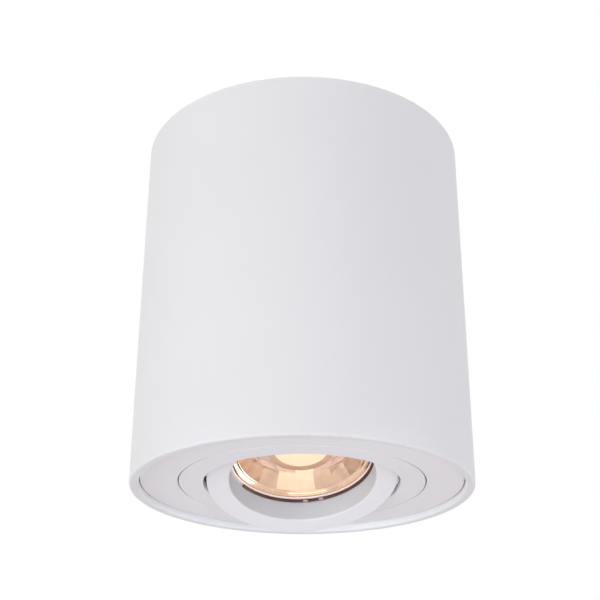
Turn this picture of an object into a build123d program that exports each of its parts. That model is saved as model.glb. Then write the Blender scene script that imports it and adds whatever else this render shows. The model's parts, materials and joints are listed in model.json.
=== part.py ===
from build123d import *
import os
from math import degrees, hypot, radians, sqrt, tan

# A round spotlight for the ceiling. A white tube hangs on a ceiling plate. Its front holds a
# fixed bezel, a swivel ring that turns in the bezel, and a ring that tilts in the swivel ring
# and carries a twist-lock reflector lamp.
# Millimetres. The origin is the middle of the ceiling face, +Z is up, the front is at the bottom.

# Lamp, a standard 50 mm reflector lamp with two twist-lock pins
lamp_diameter = 50.0
lamp_length = 43.0
lamp_wall = 1.3
lens_rim_width = 3.2
lens_rim_depth = 2.1
lens_thickness = 1.2
lens_inset = 0.7
emitter_radius = 9.4
emitter_depth = 1.55
reflector_lip_width = 2.3
reflector_depth = 5.35
reflector_floor_radius = 18.4
reflector_wall = 1.3
facet_count = 19
facet_turn = 11.6
board_thickness = 1.6
driver_width = 14.0
lamp_neck_radius = 10.4
lamp_neck_length = 13.0
pin_spacing = 10.0
pin_radius = 1.5
pin_head_radius = 2.5
pin_head_height = 2.3
twist_angle = 30.0

# Tilt ring round the lamp
lamp_gap = 0.3
lamp_recess = 9.1
ring_face_width = 7.6
ring_face_offset = 4.7
ring_rear = 12.0
ring_round = 0.5
pivot_height = 8.0
tilt_rest = 17.8
pad_radius = 4.0
pad_proud = 0.25
wire_radius = 0.5
wire_bite = 0.2
wire_gap_angle = 171.0
wire_gap_span = 67.0
sleeve_wall = 0.15
sleeve_length = 1.7
sleeve_angle = 72.1
sleeve_spacing = 13.4

# Swivel ring round the tilt ring
ball_gap = 0.77
swivel_face_width = 8.3
swivel_thickness = 2.5
swivel_wall = 1.8
swivel_rest = 8.5
ear_thickness = 2.8
ear_radius = 4.8
flange_reach = 1.0
flange_thickness = 2.0
spacer_thickness = 0.6
spring_thickness = 0.5
shoulder_radius = 2.0
shoulder_head_height = 1.6
pivot_thread_radius = 1.5
pivot_thread_length = 4.5

# Bezel round the swivel ring
swivel_gap = 0.35
bezel_face_width = 12.8
bezel_thickness = 2.5
face_recess = 2.2
bearing_wall = 1.8
bearing_height = 8.0
collar_wall = 2.0
edge_round = 0.3
boss_radius = 2.4
stop_radius = 1.1
lug_width = 2.4
retainer_width = 7.0
retainer_thickness = 1.0
clip_span = 12.0
clip_thickness = 0.6
clip_rise = 12.0
clip_tail = 5.5
rivet_radius = 1.2
rivet_head_radius = 2.2
rivet_head_height = 1.0

# Tube and ceiling plate
insert_gap = 0.35
tube_wall = 3.2
body_height = 130.0
rim_round = 0.8
plate_thickness = 3.0
plate_gap = 0.15
slot_spacing = 70.0
slot_width = 4.6
slot_length = 12.0
port_count = 3
port_radius = 3.6
port_margin = 1.0
port_length = 70.0
port_hole_depth = 14.0
cable_radius = 4.0
grommet_inset = 14.65
grommet_neck = 6.0
grommet_flange = 8.0
grommet_lip = 1.2
grommet_foot = 1.6

# Terminal block, earth screw and leads
block_y = -14.0
block_width = 16.0
block_height = 13.0
pole_pitch = 10.0
pole_drop = 5.5
clamp_radius = 2.2
clamp_bore = 1.4
clamp_screw_offset = 3.5
clamp_screw_radius = 1.2
well_radius = 1.8
earth_x = 26.0
earth_y = 24.0
earth_screw_radius = 2.0
tag_radius = 4.0
tag_thickness = 0.8
barrel_length = 7.0
lead_radius = 1.1
lead_entry = 3.0

# Lampholder and its bracket
holder_length = 32.0
holder_width = 18.0
holder_height = 11.0
holder_cap_height = 4.5
holder_plate = 3.0
holder_screw_x = 12.4
contact_thickness = 0.6
contact_width = 3.6
holder_lead_x = 4.5
strap_thickness = 1.2
strap_width = 8.0
arm_gap = 1.5
bend_radius = 2.5
foot_width = 22.0
foot_screw_angle = 16.5

# Small screws and clearances
screw_radius = 1.25
screw_head_radius = 2.2
screw_head_height = 1.5
plate_screw_radius = 1.5
plate_screw_head_radius = 3.0
recess_width = 0.8
recess_depth = 0.6
seat_gap = 0.15
running_gap = 0.05
hole_gap = 0.1
pin_gap = 0.2

# Radii from the lamp outwards, each fitted round the one before
lamp_radius = lamp_diameter / 2
ring_bore = lamp_radius + lamp_gap
ring_front_radius = ring_bore + ring_face_width
ball_radius = hypot(ring_front_radius, ring_face_offset)
ring_rear_radius = sqrt(ball_radius**2 - ring_rear**2)
swivel_bore = ball_radius + ball_gap
swivel_radius = swivel_bore + swivel_face_width
bezel_bore = swivel_radius + swivel_gap
bearing_radius = bezel_bore + bearing_wall
bezel_radius = bezel_bore + bezel_face_width
collar_bore = bezel_radius - collar_wall
tube_bore = bezel_radius + insert_gap
tube_radius = tube_bore + tube_wall
flange_radius = bearing_radius + flange_reach
stop_circle = flange_radius + swivel_gap + stop_radius
lug_radius = stop_circle + stop_radius / 4
boss_circle = lug_radius + swivel_gap + boss_radius
port_circle = tube_bore - plate_screw_head_radius - port_margin
plate_radius = tube_bore - plate_gap
grommet_y = grommet_inset - plate_radius

# Heights above the tube's lower edge
bezel_top = face_recess + bezel_thickness
swivel_top = face_recess + swivel_thickness
bearing_top = bezel_top + bearing_height
flange_bottom = bearing_top + running_gap
flange_top = flange_bottom + flange_thickness
retainer_bottom = flange_top + seat_gap
pivot_room = pivot_height - swivel_top
spacer_radius = pivot_room - seat_gap
shoulder_head_radius = pivot_room - pin_gap

# Places along the pivot axis, outwards from the tilt ring
pad_face = ball_radius + pad_proud
ear_inner = pad_face + spacer_thickness + 2 * running_gap
ear_outer = ear_inner + ear_thickness
head_seat = ear_outer + spring_thickness + 2 * running_gap

# Places along the lamp's axis, measured back from the pivot
lamp_front = lamp_recess - ring_face_offset
sleeve_radius = wire_radius + running_gap + sleeve_wall
wire_z = lamp_front - seat_gap - sleeve_radius
lens_back = lamp_front + lens_rim_depth
emitter_front = lens_back + emitter_depth
reflector_floor = lens_back + reflector_depth
reflector_back = reflector_floor + reflector_wall
lamp_back = lamp_front + lamp_length
lamp_neck_front = lamp_back - lamp_neck_length
holder_front = lamp_back + seat_gap
holder_floor = holder_front + holder_plate
pin_head_front = holder_floor + seat_gap
pin_end = pin_head_front + pin_head_height
holder_back = holder_front + holder_height
cap_back = holder_back + holder_cap_height
strap_back = cap_back + strap_thickness
holder_lead_y = strap_width / 2 + lead_radius + 3 * seat_gap

# The frames that the pieces are built in
front_frame = Plane.XY.offset(-body_height)
swivel_frame = front_frame.rotated((0, 0, swivel_rest))
tilt_frame = front_frame.offset(pivot_height).rotated((-tilt_rest, 0, 0)).rotated((0, 0, swivel_rest))
under_plate = Plane.XY.offset(-plate_thickness)
retainer_angles = (30, 150, 270)
clip_angles = (90, 210, 330)


def meridian(frame):
    """The plane through a frame's axis: x runs outwards and y runs along the axis."""
    return Plane(origin=frame.origin, x_dir=frame.x_dir, z_dir=-frame.y_dir)


def spin_axis(frame):
    """The axis that a frame's turned pieces are turned about."""
    return Axis(frame.origin, frame.z_dir)


def turned(frame, angle):
    """The same frame, turned about its own axis."""
    turned_x = frame.x_dir.rotate(Axis((0, 0, 0), frame.z_dir), angle)
    return Plane(origin=frame.origin, x_dir=turned_x, z_dir=frame.z_dir)


def side_plane(frame, side, distance, height=0.0):
    """A plane that faces out along a frame's x, on one side, at a distance from its axis."""
    place = frame.from_local_coords((side * distance, 0, height))
    return Plane(origin=place, x_dir=side * frame.y_dir, z_dir=side * frame.x_dir)


def pan_screw(shank, length, head, head_height):
    """A pan head screw: the head stands on the seat plane, the shank goes down from it."""
    with BuildPart() as screw:
        with BuildSketch():
            Circle(head)
        extrude(amount=head_height)
        fillet(screw.faces().sort_by(Axis.Z)[-1].edges(), head_height * 0.4)
        with BuildSketch():
            Circle(shank)
        extrude(amount=-length)
        with BuildSketch(Plane.XY.offset(head_height)):
            Rectangle(head, recess_width)
            Rectangle(recess_width, head)
        extrude(amount=-recess_depth, mode=Mode.SUBTRACT)
    return screw.part


def lead_route(points):
    """The radius of each corner of a lead's route, as large as its two runs allow."""
    radii = []
    for before, corner, after in zip(points, points[1:], points[2:]):
        turn = (corner - before).get_angle(after - corner)
        shorter = min((corner - before).length, (after - corner).length)
        radii.append(0.45 * shorter / tan(radians(turn / 2)))
    return radii


# Housing tube, with the ports that take the ceiling plate's screws
with BuildPart() as housing_tube:
    with BuildSketch(front_frame):
        Circle(tube_radius)
        Circle(tube_bore, mode=Mode.SUBTRACT)
    extrude(amount=body_height)
    rim = housing_tube.faces().sort_by(Axis.Z)[0]
    fillet(rim.edges(), rim_round)
    with BuildSketch(under_plate):
        with PolarLocations(port_circle, port_count, start_angle=90):
            Circle(port_radius)
        with PolarLocations((port_circle + tube_bore) / 2, port_count, start_angle=90):
            Rectangle(tube_bore - port_circle + tube_wall / 2, 2 * port_radius)
    extrude(amount=-port_length)
    with Locations(under_plate):
        with PolarLocations(port_circle, port_count, start_angle=90):
            Hole(plate_screw_radius + running_gap, port_hole_depth)
housing_tube.part.label = "housing_tube"

# Ceiling plate, flush with the tube's upper edge
grommet_plane = Plane((0, grommet_y, 0))
fixing_places = [(side * pole_pitch / 2, block_y) for side in (-1, 1)]
with BuildPart() as ceiling_plate:
    with BuildSketch():
        Circle(plate_radius)
        with GridLocations(slot_spacing, 0, 2, 1):
            SlotOverall(slot_length, slot_width, mode=Mode.SUBTRACT)
    extrude(amount=-plate_thickness)
    with PolarLocations(port_circle, port_count, start_angle=90):
        CounterSinkHole(
            plate_screw_radius + hole_gap,
            plate_screw_head_radius + hole_gap,
            counter_sink_angle=90,
        )
    with Locations(grommet_plane):
        CounterBoreHole(grommet_neck + hole_gap, grommet_flange + hole_gap, grommet_lip + hole_gap)
    with Locations(*fixing_places):
        Hole(screw_radius + running_gap)
    with Locations((earth_x, earth_y)):
        Hole(earth_screw_radius + running_gap)
ceiling_plate.part.label = "ceiling_plate"

with BuildPart() as ceiling_plate_screws:
    for angle in (90, 210, 330):
        screw_plane = Plane.XY.rotated((0, 0, angle))
        seat = Plane(screw_plane.from_local_coords((port_circle, 0, -hole_gap)))
        with BuildSketch(meridian(seat)):
            with BuildLine():
                Polyline(
                    (0, 0),
                    (plate_screw_head_radius, 0),
                    (plate_screw_radius, plate_screw_radius - plate_screw_head_radius),
                    (plate_screw_radius, hole_gap - plate_thickness - port_hole_depth + 1),
                    (0, hole_gap - plate_thickness - port_hole_depth + 1),
                    close=True,
                )
            make_face()
        revolve(axis=spin_axis(seat))
        with BuildSketch(seat):
            Rectangle(plate_screw_head_radius, recess_width)
            Rectangle(recess_width, plate_screw_head_radius)
        extrude(amount=-recess_depth, mode=Mode.SUBTRACT)
ceiling_plate_screws.part.label = "ceiling_plate_screws"

# Cable grommet: a lip in the counterbore, a neck through the plate and a foot below it
with BuildPart() as cable_grommet:
    with BuildSketch(meridian(grommet_plane)):
        with BuildLine():
            Polyline(
                (cable_radius, -hole_gap),
                (grommet_flange, -hole_gap),
                (grommet_flange, -grommet_lip),
                (grommet_neck, -grommet_lip),
                (grommet_neck, -plate_thickness - running_gap),
                (grommet_flange, -plate_thickness - running_gap),
                (grommet_flange, -plate_thickness - grommet_foot),
                (cable_radius, -plate_thickness - grommet_foot),
                close=True,
            )
        make_face()
    revolve(axis=spin_axis(grommet_plane))
cable_grommet.part.label = "cable_grommet"

# Terminal block: three poles along X, with the wires entering along Y
pole_z = -plate_thickness - pole_drop
block_front = block_y + block_width / 2
pole_places = [(step * pole_pitch, block_y, pole_z) for step in (-1, 0, 1)]
clamp_screw_places = [
    (step * pole_pitch, block_y + side * clamp_screw_offset)
    for step in (-1, 0, 1)
    for side in (-1, 1)
]
with BuildPart() as terminal_block:
    with BuildSketch(under_plate):
        with Locations((0, block_y)):
            Rectangle(3 * pole_pitch, block_width)
        fillet(vertices(), 1.2)
    extrude(amount=-block_height)
    with Locations(*pole_places):
        Cylinder(
            clamp_radius + hole_gap,
            block_width,
            rotation=(90, 0, 0),
            mode=Mode.SUBTRACT,
        )
    with BuildSketch(under_plate.offset(-block_height)):
        with Locations(*clamp_screw_places):
            Circle(well_radius)
    extrude(amount=block_height - pole_drop, mode=Mode.SUBTRACT)
    with Locations(*fixing_places):
        Hole(screw_radius + hole_gap)
terminal_block.part.label = "terminal_block"

with BuildPart() as terminal_clamps:
    with Locations(*pole_places):
        Cylinder(clamp_radius, block_width - 2, rotation=(90, 0, 0))
        Cylinder(clamp_bore, block_width, rotation=(90, 0, 0), mode=Mode.SUBTRACT)
    with BuildSketch(under_plate.offset(-pole_drop)):
        with Locations(*clamp_screw_places):
            Circle(clamp_screw_radius + running_gap)
    extrude(amount=-2 * clamp_radius, mode=Mode.SUBTRACT)
terminal_clamps.part.label = "terminal_clamps"

# The clamp screws end just under the leads
clamp_screw_top = under_plate.offset(-pole_drop - lead_radius - running_gap)
with BuildPart() as terminal_screws:
    with BuildSketch(clamp_screw_top):
        with Locations(*clamp_screw_places):
            Circle(clamp_screw_radius)
    extrude(amount=pole_drop + lead_radius + running_gap - block_height + 1)
    with BuildSketch(under_plate.offset(1 - block_height)):
        with Locations(*clamp_screw_places):
            Rectangle(2 * clamp_screw_radius, recess_width)
    extrude(amount=recess_depth, mode=Mode.SUBTRACT)
terminal_screws.part.label = "terminal_screws"

fixing_screw = pan_screw(
    screw_radius, block_height + plate_thickness - 0.5, screw_head_radius, screw_head_height
)
with BuildPart() as terminal_fixing_screws:
    for place in fixing_places:
        with Locations(Plane((*place, -plate_thickness - block_height), z_dir=(0, 0, -1))):
            add(fixing_screw)
terminal_fixing_screws.part.label = "terminal_fixing_screws"

# Earth tag and screw under the plate
barrel_radius = lead_radius + 0.5
barrel_z = -plate_thickness - barrel_radius
with BuildPart() as earth_tag:
    with BuildSketch(under_plate):
        with Locations((earth_x, earth_y)):
            Circle(tag_radius)
        with Locations((earth_x, earth_y - tag_radius)):
            Rectangle(2 * barrel_radius, 2 * tag_radius)
    extrude(amount=-tag_thickness)
    with Locations((earth_x, earth_y - tag_radius - barrel_length / 2, barrel_z)):
        Cylinder(barrel_radius, barrel_length, rotation=(90, 0, 0))
        Cylinder(
            lead_radius + hole_gap, barrel_length, rotation=(90, 0, 0), mode=Mode.SUBTRACT
        )
    with Locations((earth_x, earth_y)):
        Hole(earth_screw_radius + hole_gap)
earth_tag.part.label = "earth_tag"

earth_pan = pan_screw(earth_screw_radius, plate_thickness, 1.7 * earth_screw_radius, 2.2)
with BuildPart() as earth_screw:
    with Locations(Plane((earth_x, earth_y, -plate_thickness - tag_thickness), z_dir=(0, 0, -1))):
        add(earth_pan)
earth_screw.part.label = "earth_screw"

# Front bezel: face ring, outer collar in the tube, inner collar that the swivel ring hangs on
with BuildPart() as front_bezel:
    with BuildSketch(meridian(front_frame)):
        with BuildLine():
            Polyline(
                (bezel_bore, face_recess),
                (bezel_radius, face_recess),
                (bezel_radius, flange_top),
                (collar_bore, flange_top),
                (collar_bore, bezel_top),
                (bearing_radius, bezel_top),
                (bearing_radius, bearing_top),
                (bezel_bore, bearing_top),
                close=True,
            )
        make_face()
    revolve(axis=Axis.Z)
    fillet(front_bezel.faces().sort_by(Axis.Z)[0].edges(), edge_round)
    with BuildSketch(front_frame.offset(bezel_top)):
        with PolarLocations(boss_circle, len(retainer_angles), start_angle=retainer_angles[0]):
            Circle(boss_radius)
    extrude(amount=retainer_bottom - bezel_top)
    with Locations(front_frame.offset(retainer_bottom)):
        with PolarLocations(boss_circle, len(retainer_angles), start_angle=retainer_angles[0]):
            Hole(screw_radius + running_gap, bearing_height)
    with BuildSketch(front_frame.offset(bezel_top)):
        with Locations((0, stop_circle)):
            Circle(stop_radius)
    extrude(amount=flange_top - bezel_top)
    for angle in clip_angles:
        collar_frame = front_frame.rotated((0, 0, angle))
        with BuildSketch(side_plane(collar_frame, 1, collar_bore - 1, bezel_top + bearing_height / 2)):
            Circle(rivet_radius + running_gap)
        extrude(amount=collar_wall + 2, mode=Mode.SUBTRACT)
front_bezel.part.label = "front_bezel"

# Leaf springs: riveted inside the collar, bowed out against the tube above it
clip_inner = collar_bore - running_gap - clip_thickness
clip_outer = tube_bore - hole_gap - clip_thickness
clip_base = bezel_top + 1
with BuildPart() as bezel_springs:
    for angle in clip_angles:
        with BuildSketch(meridian(front_frame.rotated((0, 0, angle - clip_span / 2)))):
            with BuildLine():
                Polyline(
                    (clip_inner, clip_base),
                    (clip_inner + clip_thickness, clip_base),
                    (clip_inner + clip_thickness, flange_top + 1),
                    (clip_outer + clip_thickness, flange_top + clip_rise),
                    (clip_inner + clip_thickness, flange_top + clip_rise + clip_tail),
                    (clip_inner, flange_top + clip_rise + clip_tail),
                    (clip_outer, flange_top + clip_rise),
                    (clip_inner, flange_top + 1 + clip_thickness / 2),
                    close=True,
                )
            make_face()
        revolve(axis=Axis.Z, revolution_arc=clip_span)
        collar_frame = front_frame.rotated((0, 0, angle))
        with BuildSketch(side_plane(collar_frame, 1, clip_inner - 1, bezel_top + bearing_height / 2)):
            Circle(rivet_radius + running_gap)
        extrude(amount=clip_thickness + 2, mode=Mode.SUBTRACT)
bezel_springs.part.label = "bezel_springs"

with BuildPart() as bezel_rivets:
    for angle in clip_angles:
        collar_frame = front_frame.rotated((0, 0, angle))
        rivet_z = bezel_top + bearing_height / 2
        with BuildSketch(side_plane(collar_frame, 1, clip_inner - rivet_head_height, rivet_z)):
            Circle(rivet_head_radius)
        extrude(amount=rivet_head_height - hole_gap)
        with BuildSketch(side_plane(collar_frame, 1, clip_inner - rivet_head_height, rivet_z)):
            Circle(rivet_radius)
        extrude(amount=rivet_head_height + bezel_radius - clip_inner - hole_gap)
bezel_rivets.part.label = "bezel_rivets"

# Retainers: tabs on the bosses that reach over the swivel ring's flange
retainer_inner = bearing_radius
retainer_outer = boss_circle + boss_radius
with BuildPart() as swivel_retainers:
    with BuildSketch(front_frame.offset(retainer_bottom)):
        with PolarLocations(
            (retainer_inner + retainer_outer) / 2,
            len(retainer_angles),
            start_angle=retainer_angles[0],
        ):
            RectangleRounded(retainer_outer - retainer_inner, retainer_width, 1.0)
        with PolarLocations(boss_circle, len(retainer_angles), start_angle=retainer_angles[0]):
            Circle(screw_radius + hole_gap, mode=Mode.SUBTRACT)
    extrude(amount=retainer_thickness)
swivel_retainers.part.label = "swivel_retainers"

retainer_screw = pan_screw(
    screw_radius, bearing_height - 1, screw_head_radius, screw_head_height
)
with BuildPart() as retainer_screws:
    with Locations(front_frame.offset(retainer_bottom + retainer_thickness)):
        with PolarLocations(boss_circle, len(retainer_angles), start_angle=retainer_angles[0]):
            add(retainer_screw)
retainer_screws.part.label = "retainer_screws"

# Swivel ring: face ring, wall, flange on the bezel's inner collar, two ears, one stop lug
ear_height = pivot_height - swivel_top
with BuildPart() as swivel_ring:
    with BuildSketch(meridian(swivel_frame)):
        with BuildLine():
            Polyline(
                (swivel_bore, face_recess),
                (swivel_radius, face_recess),
                (swivel_radius, flange_bottom),
                (flange_radius, flange_bottom),
                (flange_radius, flange_top),
                (swivel_radius - swivel_wall, flange_top),
                (swivel_radius - swivel_wall, swivel_top),
                (swivel_bore, swivel_top),
                close=True,
            )
        make_face()
    revolve(axis=Axis.Z)
    fillet(swivel_ring.faces().sort_by(Axis.Z)[0].edges(), edge_round)
    for side in (-1, 1):
        ear_plane = side_plane(swivel_frame, side, ear_inner, pivot_height)
        with BuildSketch(ear_plane):
            Circle(ear_radius)
            with Locations((0, -ear_height / 2 - running_gap)):
                Rectangle(2 * ear_radius, ear_height + 2 * running_gap)
        extrude(amount=ear_thickness)
        with BuildSketch(ear_plane):
            Circle(shoulder_radius + running_gap)
        extrude(amount=ear_thickness, mode=Mode.SUBTRACT)
        with BuildSketch(side_plane(swivel_frame, side, ear_outer, pivot_height)):
            Circle(shoulder_head_radius + pin_gap)
        extrude(amount=swivel_radius - ear_outer, mode=Mode.SUBTRACT)
    with BuildSketch(swivel_frame.offset(flange_bottom)):
        with Locations((0, -(swivel_radius + lug_radius) / 2)):
            Rectangle(lug_width, lug_radius - swivel_radius)
    extrude(amount=flange_thickness)
swivel_ring.part.label = "swivel_ring"

# Slip washers between tilt ring and ears, spring washers under the screw heads
with BuildPart() as pivot_spacers:
    for side in (-1, 1):
        with BuildSketch(side_plane(swivel_frame, side, pad_face + running_gap, pivot_height)):
            Circle(spacer_radius)
            Circle(shoulder_radius + hole_gap, mode=Mode.SUBTRACT)
        extrude(amount=spacer_thickness)
pivot_spacers.part.label = "pivot_spacers"

with BuildPart() as pivot_springs:
    for side in (-1, 1):
        with BuildSketch(side_plane(swivel_frame, side, ear_outer + running_gap, pivot_height)):
            Circle(shoulder_head_radius)
            Circle(shoulder_radius + hole_gap, mode=Mode.SUBTRACT)
        extrude(amount=spring_thickness)
pivot_springs.part.label = "pivot_springs"

wire_circle = ring_bore - wire_bite
groove_radius = wire_circle + sleeve_radius + hole_gap

# Tilt ring: flat face, ball-shaped outside, straight bore, two pivot pads
with BuildPart() as tilt_ring:
    with BuildSketch(meridian(tilt_frame)):
        with BuildLine():
            outer = RadiusArc(
                (ring_front_radius, -ring_face_offset), (ring_rear_radius, ring_rear), -ball_radius
            )
            Polyline(outer @ 1, (ring_bore, ring_rear), (ring_bore, -ring_face_offset), outer @ 0)
        make_face()
    revolve(axis=spin_axis(tilt_frame))
    front_face = tilt_ring.faces().sort_by(spin_axis(tilt_frame))[0]
    fillet(front_face.edges(), ring_round)
    for side in (-1, 1):
        pad_plane = side_plane(tilt_frame, side, pad_face)
        with BuildSketch(pad_plane):
            Circle(pad_radius)
        extrude(amount=-ring_face_width / 2)
        with BuildSketch(pad_plane):
            Circle(pivot_thread_radius + running_gap)
        extrude(amount=-pivot_thread_length - seat_gap, mode=Mode.SUBTRACT)
    foot_circle = (ring_bore + ring_rear_radius) / 2
    foot_screw_angles = [half + turn for half in (0, 180) for turn in (-foot_screw_angle, foot_screw_angle)]
    with Locations(tilt_frame.offset(ring_rear)):
        for angle in foot_screw_angles:
            with PolarLocations(foot_circle, 1, start_angle=angle):
                Hole(screw_radius + running_gap, ring_rear / 2)
    with BuildSketch(meridian(tilt_frame)):
        with Locations((ring_bore, wire_z)):
            Rectangle(2 * (groove_radius - ring_bore), 2 * (sleeve_radius + hole_gap))
    revolve(axis=spin_axis(tilt_frame), mode=Mode.SUBTRACT)
tilt_ring.part.label = "tilt_ring"

# Retaining wire: sprung into the groove, in front of the lamp's rim, open at one side
wire_start = wire_gap_angle + wire_gap_span / 2
with BuildPart() as lamp_retaining_wire:
    with BuildSketch(meridian(turned(tilt_frame, wire_start))):
        with Locations((wire_circle, wire_z)):
            Circle(wire_radius)
    revolve(axis=spin_axis(tilt_frame), revolution_arc=360 - wire_gap_span)
lamp_retaining_wire.part.label = "lamp_retaining_wire"

# Two plastic sleeves on the wire, which keep it from scratching the lamp
sleeve_span = degrees(sleeve_length / wire_circle)
with BuildPart() as wire_sleeves:
    for side in (-1, 1):
        start = sleeve_angle + (side * sleeve_spacing - sleeve_span) / 2
        with BuildSketch(meridian(turned(tilt_frame, start))):
            with Locations((wire_circle, wire_z)):
                Circle(sleeve_radius)
                Circle(wire_radius + running_gap, mode=Mode.SUBTRACT)
        revolve(axis=spin_axis(tilt_frame), revolution_arc=sleeve_span)
wire_sleeves.part.label = "wire_sleeves"

with BuildPart() as shoulder_screw:
    with BuildSketch():
        Circle(shoulder_head_radius)
    extrude(amount=shoulder_head_height)
    with BuildSketch():
        Circle(shoulder_radius)
    extrude(amount=pad_face + running_gap - head_seat)
    with BuildSketch():
        Circle(pivot_thread_radius)
    extrude(amount=pad_face - head_seat - pivot_thread_length)
    with BuildSketch(Plane.XY.offset(shoulder_head_height)):
        Rectangle(2 * shoulder_head_radius, recess_width)
    extrude(amount=-recess_depth, mode=Mode.SUBTRACT)
with BuildPart() as pivot_screws:
    for side in (-1, 1):
        with Locations(side_plane(tilt_frame, side, head_seat)):
            add(shoulder_screw.part)
pivot_screws.part.label = "pivot_screws"

# Lampholder bracket: a strap over the lamp, on two feet that lie on the tilt ring's rear face
arm_x = ring_bore + arm_gap
strap_length = strap_back - ring_rear
with BuildPart() as lampholder_bracket:
    with BuildSketch(meridian(tilt_frame)):
        with Locations((0, ring_rear + strap_length / 2)):
            strap = Rectangle(2 * (arm_x + strap_thickness), strap_length)
        fillet(strap.vertices().group_by(spin_axis(tilt_frame))[-1], bend_radius)
        with Locations((0, ring_rear + (strap_length - strap_thickness) / 2)):
            Rectangle(2 * arm_x, strap_length - strap_thickness, mode=Mode.SUBTRACT)
    extrude(amount=strap_width / 2, both=True)
    with BuildSketch(tilt_frame.offset(ring_rear)):
        Circle(ring_rear_radius - pin_gap)
        Circle(ring_bore + pin_gap, mode=Mode.SUBTRACT)
        Rectangle(2 * ring_rear_radius, foot_width, mode=Mode.INTERSECT)
        for angle in foot_screw_angles:
            with PolarLocations(foot_circle, 1, start_angle=angle):
                Circle(screw_radius + hole_gap, mode=Mode.SUBTRACT)
    extrude(amount=strap_thickness)
    with BuildSketch(tilt_frame.offset(cap_back)):
        with GridLocations(2 * holder_screw_x, 0, 2, 1):
            Circle(screw_radius + hole_gap)
    extrude(amount=strap_thickness, mode=Mode.SUBTRACT)
lampholder_bracket.part.label = "lampholder_bracket"

foot_screw = pan_screw(
    screw_radius, ring_rear / 2, screw_head_radius, screw_head_height
)
with BuildPart() as bracket_screws:
    with Locations(tilt_frame.offset(ring_rear + strap_thickness)):
        for angle in foot_screw_angles:
            with PolarLocations(foot_circle, 1, start_angle=angle):
                add(foot_screw)
bracket_screws.part.label = "bracket_screws"

# Lampholder: a ceramic cup whose floor has two keyhole slots for the lamp's pins
pin_circle = pin_spacing / 2
cavity_radius = pin_circle + pin_head_radius + 3 * pin_gap
with BuildPart() as lampholder_body:
    with BuildSketch(tilt_frame.offset(holder_front)):
        RectangleRounded(holder_length, holder_width, 3.0)
    extrude(amount=holder_height)
    with BuildSketch(tilt_frame.offset(holder_floor)):
        Circle(cavity_radius)
    extrude(amount=holder_height, mode=Mode.SUBTRACT)
    for start in (0, 180):
        with BuildSketch(tilt_frame.offset(holder_front)):
            with BuildLine(mode=Mode.PRIVATE):
                slot_arc = CenterArc((0, 0), pin_circle, start, twist_angle)
            SlotArc(slot_arc, 2 * (pin_radius + pin_gap))
            with PolarLocations(pin_circle, 1, start_angle=start + twist_angle):
                Circle(pin_head_radius + pin_gap)
        extrude(amount=holder_plate, mode=Mode.SUBTRACT)
    with Locations(tilt_frame.offset(holder_back)):
        with GridLocations(2 * holder_screw_x, 0, 2, 1):
            Hole(screw_radius + running_gap, holder_height / 2)
lampholder_body.part.label = "lampholder_body"

with BuildPart() as lampholder_cap:
    with BuildSketch(tilt_frame.offset(holder_back)):
        RectangleRounded(holder_length, holder_width, 3.0)
        with GridLocations(2 * holder_screw_x, 0, 2, 1):
            Circle(screw_radius + hole_gap, mode=Mode.SUBTRACT)
        with Locations((-holder_lead_x, holder_lead_y), (holder_lead_x, holder_lead_y)):
            Circle(lead_radius + pin_gap, mode=Mode.SUBTRACT)
    extrude(amount=holder_cap_height)
lampholder_cap.part.label = "lampholder_cap"

# Each contact is a blade behind a pin head and a stem up to its lead
contact_front = pin_end + seat_gap
lead_end = cap_back - lead_entry
with BuildPart() as lampholder_contacts:
    for side in (-1, 1):
        blade_length = holder_lead_y + pin_head_radius / 2
        with BuildSketch(tilt_frame.offset(contact_front)):
            with Locations((side * holder_lead_x, holder_lead_y - blade_length / 2)):
                Rectangle(contact_width, blade_length + 2 * contact_thickness)
            Circle(cavity_radius - hole_gap, mode=Mode.INTERSECT)
        extrude(amount=contact_thickness)
        with BuildSketch(tilt_frame.offset(contact_front)):
            with Locations((side * holder_lead_x, holder_lead_y)):
                Rectangle(lead_radius, contact_thickness)
        extrude(amount=lead_end - contact_front)
lampholder_contacts.part.label = "lampholder_contacts"

holder_screw = pan_screw(
    screw_radius,
    strap_thickness + holder_cap_height + holder_height / 2 - 0.5,
    screw_head_radius,
    screw_head_height,
)
with BuildPart() as lampholder_screws:
    with Locations(tilt_frame.offset(strap_back)):
        with GridLocations(2 * holder_screw_x, 0, 2, 1):
            add(holder_screw)
lampholder_screws.part.label = "lampholder_screws"

# Lamp lens: a clear cover with a thick rim
lens_window = lamp_radius - lens_rim_width
with BuildPart() as lamp_lens:
    with BuildSketch(meridian(tilt_frame)):
        with BuildLine():
            Polyline(
                (0, lamp_front + lens_inset),
                (lens_window, lamp_front + lens_inset),
                (lens_window, lamp_front),
                (lamp_radius, lamp_front),
                (lamp_radius, lens_back),
                (lens_window, lens_back),
                (lens_window, lamp_front + lens_inset + lens_thickness),
                (0, lamp_front + lens_inset + lens_thickness),
                close=True,
            )
        make_face()
    revolve(axis=spin_axis(tilt_frame))
    fillet(lamp_lens.faces().sort_by(spin_axis(tilt_frame))[0].edges(), 0.4)
lamp_lens.part.label = "lamp_lens"

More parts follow.
